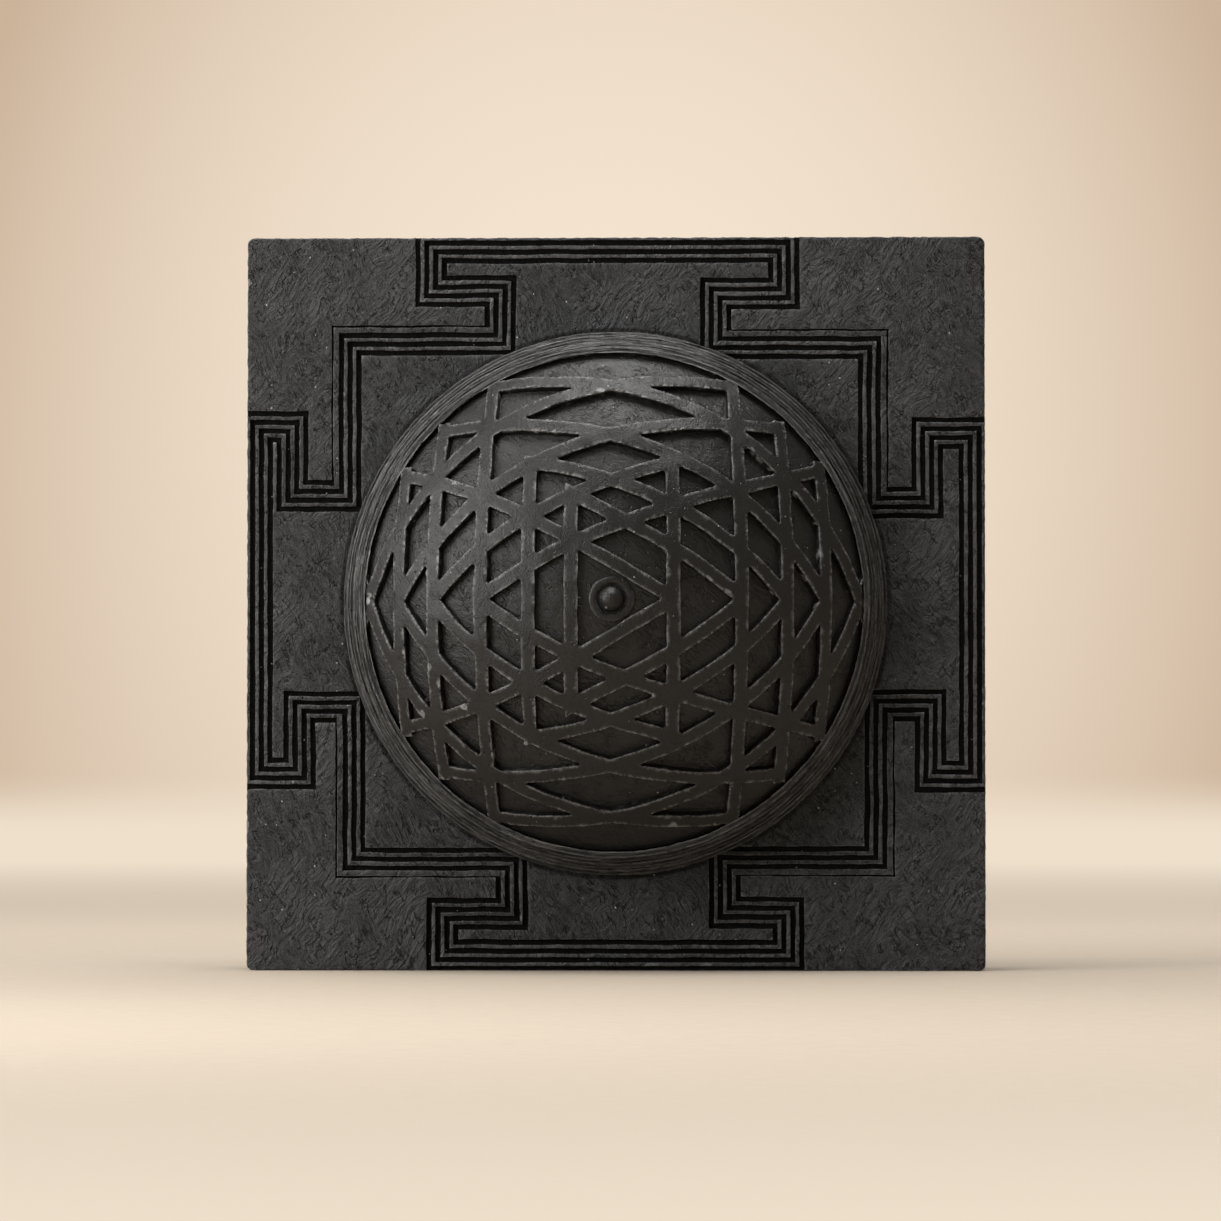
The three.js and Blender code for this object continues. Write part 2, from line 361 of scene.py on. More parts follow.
# dents of a point chisel: slanting lumps with thin creases between them
chisel = dict(driftScale=0.09, creaseScale=0.8, creaseWidth=0.05, patchScale=0.35, patches=(0.46, 0.6))
dents, given, put = newGroup("chiselDents", dict(Length=3.2, Width=1.1, Slant=0.6, Drift=6.0),
                             ["Lumps", "Creases"])
millimetres = inMillimetres(dents, given.outputs["Vector"])
driftInputs = {"Vector": millimetres, "Scale": chisel["driftScale"], "Detail": 1.0}
drift = addNode(dents, "TexNoise", driftInputs).outputs["Color"]
bent = vectors(dents, "ADD", vectors(dents, "SCALE", drift, given.outputs["Drift"]), millimetres)
turned = addNode(dents, "VectorRotate", {"Vector": bent, "Angle": given.outputs["Slant"]},
                 rotation_type="Y_AXIS").outputs[0]
acrossScale = maths(dents, "DIVIDE", 1.0, given.outputs["Width"])
alongScale = maths(dents, "DIVIDE", 1.0, given.outputs["Length"])
stretch = addNode(dents, "CombineXYZ", {"X": acrossScale, "Y": acrossScale, "Z": alongScale}).outputs[0]
stretched = vectors(dents, "MULTIPLY", turned, stretch)
shifted = vectors(dents, "ADD", stretched, (17.0, 5.0, 9.0))
contour = maths(dents, "SUBTRACT", noiseAt(dents, shifted, chisel["creaseScale"], 2.0, 0.5), 0.5)
crease = ramp(dents, maths(dents, "ABSOLUTE", contour), 0.0, chisel["creaseWidth"], 1.0, 0.0)
kept = ramp(dents, noiseAt(dents, millimetres, chisel["patchScale"], 2.0), *chisel["patches"])
lumps = noiseAt(dents, stretched, 1.0, 3.0, 0.6)
feed(dents, put, {"Lumps": lumps, "Creases": maths(dents, "MULTIPLY", crease, kept)})

# lines left by turning, long round the dome's axis and narrow across
lathe = dict(measuredAt=50.0, wallShare=0.4, contrast=(0.3, 0.7))
turning, given, put = newGroup("turnedLines", dict(Around=10.0, Across=0.6), ["Lines", "Radius"])
centred = vectors(turning, "SUBTRACT", given.outputs["Vector"], (0, 0, centreZ))
parts = addNode(turning, "SeparateXYZ", {"Vector": inMillimetres(turning, centred)})
squares = [maths(turning, "MULTIPLY", parts.outputs[axis], parts.outputs[axis]) for axis in ("X", "Z")]
radius = maths(turning, "SQRT", maths(turning, "ADD", *squares))
aroundSize = maths(turning, "MULTIPLY", radius, given.outputs["Around"])
aroundScale = maths(turning, "DIVIDE", lathe["measuredAt"], aroundSize)
lean = maths(turning, "MULTIPLY", parts.outputs["Y"], lathe["wallShare"])
across = maths(turning, "DIVIDE", maths(turning, "ADD", radius, lean), given.outputs["Across"])
around = [maths(turning, "MULTIPLY", parts.outputs[axis], aroundScale) for axis in ("X", "Z")]
place = addNode(turning, "CombineXYZ", {"X": around[0], "Y": across, "Z": around[1]}).outputs[0]
lines = noiseAt(turning, place, 1.0, 3.0, 0.6)
feed(turning, put, {"Lines": ramp(turning, lines, *lathe["contrast"]), "Radius": radius})

# mineral grain: fine speckle, slow clouding, a few white specks and shallow pits
mineral = dict(speckScale=0.9, speckSize=0.16, pitScale=0.55, pitShare=0.16, pitEdge=(0.06, 0.2))
grain, given, put = newGroup("stoneGrain", dict(Grain=0.35, Clouds=14.0, Specks=0.02),
                             ["Fine", "Cloud", "Speck", "Pit"])
millimetres = inMillimetres(grain, given.outputs["Vector"])
for label, size, detail in (("Fine", "Grain", 2.0), ("Cloud", "Clouds", 4.0)):
    scale = maths(grain, "DIVIDE", 1.0, given.outputs[size])
    feed(grain, put, {label: noiseAt(grain, millimetres, scale, detail, 0.6)})
dots = addNode(grain, "TexVoronoi", {"Vector": millimetres, "Scale": mineral["speckScale"]})
dotRandom = addNode(grain, "SeparateColor", {"Color": dots.outputs["Color"]})
dotSize = maths(grain, "MULTIPLY", dotRandom.outputs["Green"], mineral["speckSize"])
inDot = maths(grain, "LESS_THAN", dots.outputs["Distance"], dotSize)
rare = maths(grain, "LESS_THAN", dotRandom.outputs["Red"], given.outputs["Specks"])
pits = addNode(grain, "TexVoronoi", {"Vector": millimetres, "Scale": mineral["pitScale"]})
pitRandom = addNode(grain, "SeparateColor", {"Color": pits.outputs["Color"]})
pitRare = maths(grain, "LESS_THAN", pitRandom.outputs["Blue"], mineral["pitShare"])
pitShape = ramp(grain, pits.outputs["Distance"], *mineral["pitEdge"], 1.0, 0.0)
feed(grain, put, {"Speck": maths(grain, "MULTIPLY", inDot, rare),
                  "Pit": maths(grain, "MULTIPLY", pitShape, pitRare)})

# pale edges broken into patches: partly rubbed where hands and tools reach, partly a painted highlight where
# edges catch the light
paleEdgePatches = dict(patchScale=0.6, patches=(0.3, 0.55))
wearAndHighlight, given, put = newGroup("edgeWearAndHighlight", dict(Pointiness=0.5, Start=0.515, Full=0.58), ["Mask"])
millimetres = inMillimetres(wearAndHighlight, given.outputs["Vector"])
sharp = ramp(wearAndHighlight, given.outputs["Pointiness"], given.outputs["Start"], given.outputs["Full"])
broken = ramp(wearAndHighlight, noiseAt(wearAndHighlight, millimetres, paleEdgePatches["patchScale"], 4.0, 0.65), *paleEdgePatches["patches"])
feed(wearAndHighlight, put, {"Mask": maths(wearAndHighlight, "MULTIPLY", sharp, broken)})


# stone finishes, with the lengths of marks and the depths of bumps in mm; the very dark tones for the cuts
# and the band walls are painted shade, and the pale edge tones are partly rubbed stone and partly painted
# highlight

finishes = {
    "slabStone": dict(
        base=(0.046, 0.0465, 0.048), dark=(0.0128, 0.013, 0.0135), edge=(0.26, 0.26, 0.26),
        roughness=(0.55, 0.8), specular=0.24, length=3.2, width=0.9, slant=0.62, crossSlant=-0.7,
        lumps=0.85, creases=0.45, grain=0.3, grainDepth=0.2, clouds=16.0, specks=0.06, wearAndHighlightAmount=0.7,
        grooveShadeTone=0.08, creviceShadeRadius=55.55),
    "cellFloorStone": dict(
        base=(0.0092, 0.0088, 0.0082), dark=(0.0038, 0.0037, 0.0035), edge=(0.07, 0.068, 0.065),
        roughness=(0.34, 0.52), specular=0.38, length=2.4, width=0.7, slant=0.9,
        lumps=0.22, creases=0.1, grain=0.3, grainDepth=0.09, clouds=8.0, specks=0.06, wearAndHighlightAmount=0.2),
    "latticeStone": dict(
        base=(0.0085, 0.0081, 0.0075), dark=(0.0034, 0.0032, 0.0030), edge=(0.26, 0.254, 0.245),
        wall=(0.004, 0.0039, 0.0037), roughness=(0.30, 0.46), specular=0.38, length=1.8, width=0.8, slant=0.4,
        lumps=0.08, creases=0.04, grain=0.3, grainDepth=0.10, clouds=12.0, specks=0.05, wearAndHighlightAmount=0.8),
    "rimStone": dict(
        base=(0.055, 0.0538, 0.0522), dark=(0.004, 0.0039, 0.0037), edge=(0.3, 0.295, 0.285),
        roughness=(0.24, 0.5), specular=0.45, length=2.0, width=0.8, slant=0.2,
        lumps=0.12, creases=0.05, grain=0.28, grainDepth=0.04, clouds=9.0, specks=0.05, wearAndHighlightAmount=0.8,
        lines=0.7),
}
# what all stones share: how far each pattern moves the tone, how strongly marks show, and the reach of masks
# the crease tones paint shade in the chisel creases, the pale tones paint highlights along strokes, and the
# cut and gap settings paint shade in the cuts and round the dome's foot
stoneMix = dict(lumps=0.45, clouds=0.35, grain=0.55, lines=0.9, tone=(0.44, 0.88), lift=1.3,
                creaseShadeShare=0.7, creaseShadeTone=0.4, strokeHighlightShare=0.4, strokeHighlightTone=2.4,
                speckShare=0.75, speck=(0.42, 0.42, 0.4), pitDepth=0.14, crossPatches=(0.44, 0.56),
                grooveShadeEdge=0.2, creviceShadeEdge=(0.2, 0.8), creviceShadePatches=(0.3, 0.5), frontReach=2.0)


def stone(name):
    look = finishes[name]
    material, tree, shader, place = newMaterial(name)

    def dented(slant):
        sizes = {"Vector": place, "Length": look["length"], "Width": look["width"], "Slant": slant}
        return addNode(tree, "Group", sizes, node_tree=dents).outputs

    def times(first, second):
        return maths(tree, "MULTIPLY", first, second)

    def plus(first, second):
        return maths(tree, "ADD", first, second)

    def minus(first, second):
        return maths(tree, "SUBTRACT", first, second)

    marks = dented(look["slant"])
    lumps = marks["Lumps"]
    grains = addNode(tree, "Group", {"Vector": place, "Grain": look["grain"], "Clouds": look["clouds"],
                                     "Specks": look["specks"]}, node_tree=grain).outputs
    pointiness = addNode(tree, "NewGeometry").outputs["Pointiness"]
    wearAndHighlightMask = addNode(tree, "Group", {"Vector": place, "Pointiness": pointiness}, node_tree=wearAndHighlight).outputs["Mask"]
    if "crossSlant" in look:
        # patches dressed the other way
        crossed = dented(look["crossSlant"])
        share = ramp(tree, grains["Cloud"], *stoneMix["crossPatches"])
        lumps = plus(times(lumps, minus(1.0, share)), times(crossed["Lumps"], share))
    if "lines" in look or "creviceShadeRadius" in look:
        turns = addNode(tree, "Group", {"Vector": place}, node_tree=turning).outputs
    if "grooveShadeTone" in look or "wall" in look:
        carved = addNode(tree, "Attribute", attribute_name="cut").outputs["Fac"]

    # tone: slow clouds, lumps and fine grain
    tone = plus(times(lumps, stoneMix["lumps"]), times(grains["Cloud"], stoneMix["clouds"]))
    tone = plus(tone, times(grains["Fine"], stoneMix["grain"]))
    if "lines" in look:
        tone = plus(tone, times(minus(turns["Lines"], 0.5), stoneMix["lines"]))
    tone = ramp(tree, tone, *stoneMix["tone"])
    colour = blend(tree, tone, look["dark"], timesColour(look["base"], stoneMix["lift"]))
    # painted shade: the chisel creases are painted darker, for the shade in them
    creaseShade = timesColour(look["dark"], stoneMix["creaseShadeTone"])
    colour = blend(tree, times(marks["Creases"], stoneMix["creaseShadeShare"]), colour, creaseShade)
    if "crossSlant" in look:
        # painted highlight: the creases of the patches dressed the other way are painted pale, as thin
        # highlights along the strokes
        pale = timesColour(look["base"], stoneMix["strokeHighlightTone"])
        colour = blend(tree, times(crossed["Creases"], stoneMix["strokeHighlightShare"]), colour, pale)
    rough = ramp(tree, tone, 0.0, 1.0, *reversed(look["roughness"]))
    if "grooveShadeTone" in look:
        # painted shade: the deep parts of the cuts are painted very dark and made rough, and a broken ring on
        # the face round the dome's foot is painted very dark too, for the shade in the cuts and in the gap
        # there
        paintedShadeColour = timesColour(look["base"], look["grooveShadeTone"])
        cut = ramp(tree, carved, 0.0, stoneMix["grooveShadeEdge"])
        colour = blend(tree, cut, colour, paintedShadeColour)
        rough = maths(tree, "MAXIMUM", rough, cut)
        near = maths(tree, "ABSOLUTE", minus(turns["Radius"], look["creviceShadeRadius"]))
        depth = addNode(tree, "SeparateXYZ", {"Vector": place}).outputs["Y"]
        onFront = maths(tree, "LESS_THAN", depth, faceY + stoneMix["frontReach"] * mm)
        near = times(onFront, ramp(tree, near, *stoneMix["creviceShadeEdge"], 1.0, 0.0))
        broken = ramp(tree, grains["Cloud"], *stoneMix["creviceShadePatches"])
        colour = blend(tree, times(near, broken), colour, paintedShadeColour)
    if "wall" in look:
        # painted shade: the walls of the bands below their tops are painted very dark, for the shade beside
        # the bands
        colour = blend(tree, ramp(tree, carved, 0.0, 1.0), colour, look["wall"])
    # pale edges, partly rubbed stone and partly a painted highlight
    colour = blend(tree, times(wearAndHighlightMask, look["wearAndHighlightAmount"]), colour, look["edge"])
    colour = blend(tree, times(grains["Speck"], stoneMix["speckShare"]), colour, stoneMix["speck"])

    height = plus(times(lumps, look["lumps"]), times(grains["Fine"], look["grainDepth"]))
    height = minus(height, times(marks["Creases"], look["creases"]))
    height = minus(height, times(grains["Pit"], stoneMix["pitDepth"]))
    if "lines" in look:
        height = plus(height, times(turns["Lines"], look["lines"]))
    bump = addNode(tree, "Bump", {"Height": height, "Distance": mm, "Strength": 1.0}).outputs["Normal"]
    feed(tree, shader, {"Base Color": colour, "Roughness": rough, "Specular IOR Level": look["specular"],
                        "Normal": bump})
    return material


slabStone = stone("slabStone")
cellFloorStone = stone("cellFloorStone")
latticeStone = stone("latticeStone")
rimStone = stone("rimStone")


def steel():
    material, tree, shader, place = newMaterial("dowelSteel")
    drawn = addNode(tree, "Mapping", {"Vector": place, "Scale": (4000, 120, 4000)}).outputs[0]
    lines = noiseAt(tree, drawn, 1.0, 2.0)
    feed(tree, shader, {"Base Color": blend(tree, lines, (0.42, 0.43, 0.45), (0.66, 0.67, 0.69)),
                        "Roughness": ramp(tree, lines, 0.3, 0.7, 0.28, 0.45), "Metallic": 1.0,
                        "Normal": addNode(tree, "Bump", {"Height": lines, "Distance": 0.02 * mm}).outputs[0]})
    return material


dowelSteel = steel()
for name in ("dowel_left", "dowel_right"):
    node = frame["nodes"][name]
    node.data.materials.clear()
    node.data.materials.append(dowelSteel)
print("finishes made")


# slab

# dark is the depth range in the cuts, in mm, where shade is painted
border = dict(count=4, pitch=1.8, width=1.1, depth=0.9, scratch=0.4, wallLean=0.05, lip=0.1, dark=(0.5, 1.2))
# the outer line of each side's gate, top first and then to the left, in mm from the middle of the face; the
# two halves of a side differ, as cut by hand
gates = [
    dict(top=75.15, square=(55.5, 56.4), neck=(23.1, 26.1), arm=(36.9, 40.2), hook=(60.3, 60.9)),
    dict(top=75.6, square=(57.6, 56.7), neck=(24.6, 23.7), arm=(38.7, 37.2), hook=(63.0, 61.5)),
    dict(top=74.1, square=(55.5, 55.2), neck=(23.7, 24.9), arm=(37.8, 37.8), hook=(60.3, 60.0)),
    dict(top=75.6, square=(56.4, 55.2), neck=(23.4, 23.1), arm=(37.8, 37.2), hook=(61.2, 60.6)),
]
slab = dict(spacing=0.9, cornerRadius=1.4, edge=0.5, firstRow=2.0, sideRows=9, backSpacing=5.0, backStrip=1.5,
            wobble=0.34, wobbleSize=7.0, chip=0.14, chipSize=1.1, hollow=0.3, hollowSize=9.0, dent=0.18,
            dentSize=2.6, nick=0.22, nickSize=1.5, faceReach=1.5, edgeFade=3.5, sideShare=0.08, arrisFade=1.3,
            socketRadius=44.3, socketDepth=3.3, dowelRadius=3.3, dowelSpread=28.0, dowelDepth=12.3)
halfWidth, halfHeight = slabWidth / 2 * mm, slabHeight / 2 * mm
slabCorner = slab["cornerRadius"] * mm


def borderOutline(gateInset, squareInset):
    outline = []
    for side, gate in enumerate(gates):
        squares = [level - squareInset for level in gate["square"]]
        necks = [reach - gateInset for reach in gate["neck"]]
        arms = [reach - gateInset for reach in gate["arm"]]
        hooks = [level + gateInset for level in gate["hook"]]
        top = gate["top"] - gateInset
        corner = squareInset - gates[side - 1]["square"][1]
        corners = [(corner, squares[0]), (-necks[0], squares[0]), (-necks[0], hooks[0]),
                   (-arms[0], hooks[0]), (-arms[0], top), (arms[1], top), (arms[1], hooks[1]),
                   (necks[1], hooks[1]), (necks[1], squares[1])]
        for along, outward in corners:
            x, y = -along, outward
            for _ in range(side):
                x, y = -y, x
            outline.append((x, y))
    return np.array(outline)


def inside(outline, points):
    found = np.zeros(len(points), bool)
    for (x0, y0), (_, y1) in zip(outline, np.roll(outline, -1, axis=0)):
        found ^= (points[:, 1] > min(y0, y1)) & (points[:, 1] <= max(y0, y1)) & (points[:, 0] < x0)
    return found


def grooveOutlines():
    pairs = []
    for line in range(border["count"]):
        inset = line * border["pitch"]
        half = border["width"] / 2
        # the outermost line is a mere scratch along the square
        squareHalf = border["scratch"] / 2 if line == 0 else half
        pairs.append([borderOutline(inset + side * half, inset + side * squareHalf) for side in (-1, 1)])
    return pairs


def gridLines(values, reach, spacing):
    # groove edges first, then even steps between them
    nearest, margin = 0.02, 0.05
    fixed = [-reach]
    for value in sorted(values):
        if fixed[-1] + nearest < value < reach - margin:
            fixed.append(value)
    fixed.append(reach)
    lines = [fixed[0]]
    for low, high in zip(fixed, fixed[1:]):
        steps = max(1, math.ceil((high - low) / spacing))
        lines += [low + (high - low) * step / steps for step in range(1, steps + 1)]
    return np.array(lines)


def outlineReach(places):
    # how far points lie beyond the slab's outline drawn in by its corner radius
    u = np.abs(places[:, 0]) - (halfWidth - slabCorner)
    v = np.abs(places[:, 2] - centreZ) - (halfHeight - slabCorner)
    return np.where((u > 0) & (v > 0), np.hypot(u, v), np.maximum(u, v))


def onOutline(places):
    return np.abs(outlineReach(places) - slabCorner) < 10 * sameSpot


def layFace(columns, rows):
    # a grid whose lines lie on the edges of the grooves
    piece, column, row = gridPiece("slab", len(columns) - 1, len(rows) - 1)
    level = np.full(len(column), faceY)
    writePlaces(piece, np.stack([columns[column] * mm, level, centreZ + rows[row] * mm], 1))
    return piece


def cutGrooves(piece, pairs):
    # pushed in with leaning walls, then the lips are rubbed round
    centres = faceCentres(piece)
    flat = np.stack([centres[:, 0], centres[:, 2] - centreZ], 1) / mm
    groove = np.zeros(len(flat), bool)
    for outer, inner in pairs:
        groove |= inside(outer, flat) & ~inside(inner, flat)
    pick(piece, "FACE", groove)
    bpy.ops.mesh.inset(thickness=border["wallLean"] * mm, depth=-border["depth"] * mm, use_boundary=False)
    objectMode()
    print("grooves cut", int(groove.sum()))

    wall = np.abs(faceNormals(piece)[:, 1]) < 0.9
    onFace = np.abs(readPlaces(piece)[:, 1] - faceY) < sameSpot
    pick(piece, "EDGE", (facesBeside(piece, wall) > 0) & bothEnds(piece, onFace))
    bevel(border["lip"], 2, False)


def roundCorners(piece):
    # points in the corners of the face are drawn in
    places = readPlaces(piece)
    cornerX, cornerZ = halfWidth - slabCorner, halfHeight - slabCorner
    u = np.abs(places[:, 0]) - cornerX
    v = np.abs(places[:, 2] - centreZ) - cornerZ
    inCorner = (u > 0) & (v > 0)
    shrink = np.maximum(u, v)[inCorner] / np.hypot(u, v)[inCorner]
    places[inCorner, 0] = np.sign(places[inCorner, 0]) * (cornerX + u[inCorner] * shrink)
    places[inCorner, 2] = centreZ + np.sign(places[inCorner, 2] - centreZ) * (cornerZ + v[inCorner] * shrink)
    writePlaces(piece, places)


def cutSocket(piece):
    # for the dome's spigot and dowels, hidden under it
    pick(piece, "FACE", radiiOf(faceCentres(piece)) < slab["socketRadius"])
    bpy.ops.mesh.delete(type="FACE")
    objectMode()
    places, ends = readPlaces(piece), edgeEnds(piece)
    radii = radiiOf(places)
    socketEdges = openEdges(piece) & (radii[ends[:, 0]] < 1.2 * slab["socketRadius"])
    socketPoints = np.unique(ends[socketEdges])
    scaleRadii(places, socketPoints, slab["socketRadius"] / radii[socketPoints])
    writePlaces(piece, places)
    pick(piece, "EDGE", socketEdges)
    drawBack(slab["socketDepth"])

    floorY = faceY + slab["socketDepth"] * mm
    holes = [Vector((x * mm, floorY, centreZ)) for x in (-slab["dowelSpread"], slab["dowelSpread"])]
    for hole in holes:
        bpy.ops.mesh.primitive_circle_add(vertices=24, radius=slab["dowelRadius"] * mm, location=hole,
                                          rotation=(math.pi / 2, 0, 0))
    objectMode()
    atFloor = np.abs(readPlaces(piece)[:, 1] - floorY) < sameSpot
    pick(piece, "EDGE", (facesBeside(piece) < 2) & bothEnds(piece, atFloor))
    bpy.ops.mesh.fill()
    objectMode()
    for hole in holes:
        fromHole = np.linalg.norm(readPlaces(piece) - np.array(hole), axis=1)
        around = np.abs(fromHole - slab["dowelRadius"] * mm) < 10 * sameSpot
        pick(piece, "EDGE", openEdges(piece) & bothEnds(piece, around))
        drawBack(slab["dowelDepth"] - slab["socketDepth"])
        bpy.ops.mesh.edge_face_add()
        objectMode()
    print("socket cut")


def closeBack(piece, columns, rows):
    # sides drawn back from the edge of the face, and a flat back in squares
    pick(piece, "EDGE", openEdges(piece) & bothEnds(piece, onOutline(readPlaces(piece))))
    drawBack(slab["firstRow"])
    bpy.ops.transform.resize(value=(1, 0, 1), center_override=(0, faceY + slab["firstRow"] * mm, centreZ))
    for _ in range(slab["sideRows"]):
        drawBack((slabThickness - slab["firstRow"]) / slab["sideRows"])
    bpy.ops.mesh.edge_face_add()
    bpy.ops.mesh.separate(type="SELECTED")
    objectMode()
    back = [o for o in bpy.context.selected_objects if o is not piece][0]
    for lines, normal in ((columns, Vector((1, 0, 0))), (rows, Vector((0, 0, 1)))):
        # a narrow strip along the edges keeps the pale edges there, partly rubbed and partly painted
        # highlight
        first, last, step = lines[0], lines[-1], slab["backSpacing"]
        cuts = np.arange(first + step, last - step / 2, step)
        for place in [first + slab["backStrip"], *cuts, last - slab["backStrip"]]:
            nearest = lines[np.argmin(np.abs(lines - place))] * mm
            editAll(back, "FACE")
            bpy.ops.mesh.bisect(plane_co=Vector((0, 0, centreZ)) + normal * nearest, plane_no=normal,
                                threshold=sameSpot)
            objectMode()
    joinPieces([piece, back])
    closeSeams(piece)


def roundArrises(piece):
    # between an upright side and the face or the back
    lying = np.abs(faceNormals(piece)[:, 1]) > 0.5
    arris = (facesBeside(piece) == 2) & (facesBeside(piece, lying) == 1)
    pick(piece, "EDGE", arris & bothEnds(piece, onOutline(readPlaces(piece))))
    bevel(slab["edge"], 3, True)


def weather(piece):
    # uneven hand work, strong on the face, with small nicks along the outer edges
    places = readPlaces(piece)
    fromFace = (places[:, 1] - faceY) / mm
    fromEdge = (slabCorner - outlineReach(places)) / mm
    # the deeper parts of the cuts are marked for painted shade
    markPaintedShade(piece, (fromFace > border["dark"][0]) & (fromFace < border["dark"][1]))
    fade = np.clip(fromEdge / slab["edgeFade"], 0, 1)
    weigh(piece, "face", np.where(fromFace < slab["faceReach"], fade, slab["sideShare"]))
    fromArris = np.hypot(fromEdge, np.minimum(fromFace, slabThickness - fromFace))
    weigh(piece, "arris", 1 - fromArris / slab["arrisFade"])
    roughen(piece, slab["wobbleSize"], slab["wobble"], "RGB_TO_XYZ", group="face", layers=1)
    roughen(piece, slab["chipSize"], slab["chip"], "RGB_TO_XYZ", group="face")
    roughen(piece, slab["hollowSize"], slab["hollow"], group="face")
    roughen(piece, slab["dentSize"], slab["dent"], group="face")
    roughen(piece, slab["nickSize"], slab["nick"], group="arris", level=0.9, contrast=3.0)


def buildSlab():
    pairs = grooveOutlines()
    corners = np.vstack([outline for pair in pairs for outline in pair])
    columns = gridLines(corners[:, 0], slabWidth / 2, slab["spacing"])
    rows = gridLines(corners[:, 1], slabHeight / 2, slab["spacing"])
    piece = layFace(columns, rows)
    cutGrooves(piece, pairs)
    roundCorners(piece)
    cutSocket(piece)
    closeBack(piece, columns, rows)
    roundArrises(piece)
    weather(piece)
    return piece


finishPiece(buildSlab(), "base_slab", slabStone, 35)


# dome: floor of the cells, on a core that sits in the slab's socket

dome = dict(sphereRadius=71.0, ringRadius=50.3, rimHeight=9.5, cellDepth=1.5, seam=0.3, spigotRadius=44.0,
            spigotLength=3.0, seatRadius=4.8, seatFade=0.8, pegHole=(1.5, 2.9), dowelHole=6.3, balls=8,
            roughSize=2.2, rough=0.22, swellSize=9.0, swell=0.35, edgeFade=1.5, shallow=0.6, shallowFrom=45.0)
domeCentre = dome["rimHeight"] - math.sqrt(dome["sphereRadius"] ** 2 - dome["ringRadius"] ** 2)
arcReach = dome["sphereRadius"] * math.asin(dome["ringRadius"] / dome["sphereRadius"])
floorRadius = dome["sphereRadius"] - dome["cellDepth"]
coreRadius = dome["ringRadius"] - dome["seam"]
seatLevel = domeCentre + math.sqrt(floorRadius ** 2 - dome["seatRadius"] ** 2)


def carveFloor(piece, wallTop):
    # shallower towards the ring, and uneven, but the edge and the bead's seat stay true
    places = readPlaces(piece)
    radii = radiiOf(places)
    fromSeat = (radii - dome["seatRadius"]) / dome["seatFade"]
    weigh(piece, "carved", np.clip((coreRadius - radii) / dome["edgeFade"], 0, 1) * np.clip(fromSeat, 0, 1))
    rise = np.clip((radii - dome["shallowFrom"]) / (coreRadius - dome["shallowFrom"]), 0, 1)
    rise[places[:, 1] > world(0, 0, wallTop).y - sameSpot] = 1
    places[:, 1] -= rise * dome["shallow"] * mm
    writePlaces(piece, places)
    roughen(piece, dome["swellSize"], dome["swell"], group="carved")
    roughen(piece, dome["roughSize"], dome["rough"], group="carved", layers=3)
    places = readPlaces(piece)
    seat = radii < dome["seatRadius"]
    places[seat, 1] = np.maximum(places[seat, 1], world(0, 0, seatLevel).y)
    writePlaces(piece, places)


def bore(piece, x, radius, low, high):
    # round hole along the dome's axis between two heights
    deselectAll()
    bpy.ops.mesh.primitive_cylinder_add(vertices=32, radius=radius * mm, depth=(high - low) * mm,
                                        location=world(x, 0, (low + high) / 2), rotation=(math.pi / 2, 0, 0))
    drill = newPiece("drill")
    addModifier(piece, "BOOLEAN", object=drill, operation="DIFFERENCE", solver="EXACT")
    bpy.data.objects.remove(drill)


def buildCore():
    deselectAll()
    bpy.ops.mesh.primitive_ico_sphere_add(subdivisions=dome["balls"], radius=floorRadius * mm,
                                          location=world(0, 0, domeCentre))
    piece = newPiece("domeFloor")
    bpy.ops.object.transform_apply(location=True, rotation=True, scale=True)
    wallTop = domeCentre + math.sqrt(floorRadius ** 2 - coreRadius ** 2)
    editAll(piece)
    bpy.ops.mesh.bisect(plane_co=world(0, 0, wallTop), plane_no=(0, 1, 0), clear_outer=True,
                        threshold=sameSpot)
    objectMode()
    carveFloor(piece, wallTop)

    # wall, underside and spigot
    pick(piece, "EDGE", openEdges(piece))
    drawBack(wallTop + dome["shallow"] - dome["seam"])
    bpy.ops.mesh.extrude_region_move()
    narrow = dome["spigotRadius"] / coreRadius
    bpy.ops.transform.resize(value=(narrow, 1, narrow), center_override=world(0, 0))
    drawBack(dome["spigotLength"] + dome["seam"])
    bpy.ops.mesh.edge_face_add()
    faceOutwards()
    objectMode()
    for x in (-slab["dowelSpread"], slab["dowelSpread"]):
        bore(piece, x, slab["dowelRadius"], -dome["spigotLength"] - 1, dome["dowelHole"])
    pegRadius, pegDepth = dome["pegHole"]
    bore(piece, 0, pegRadius, seatLevel - pegDepth, seatLevel + 1)
    return piece


finishPiece(buildCore(), "dome_core", cellFloorStone, 40)


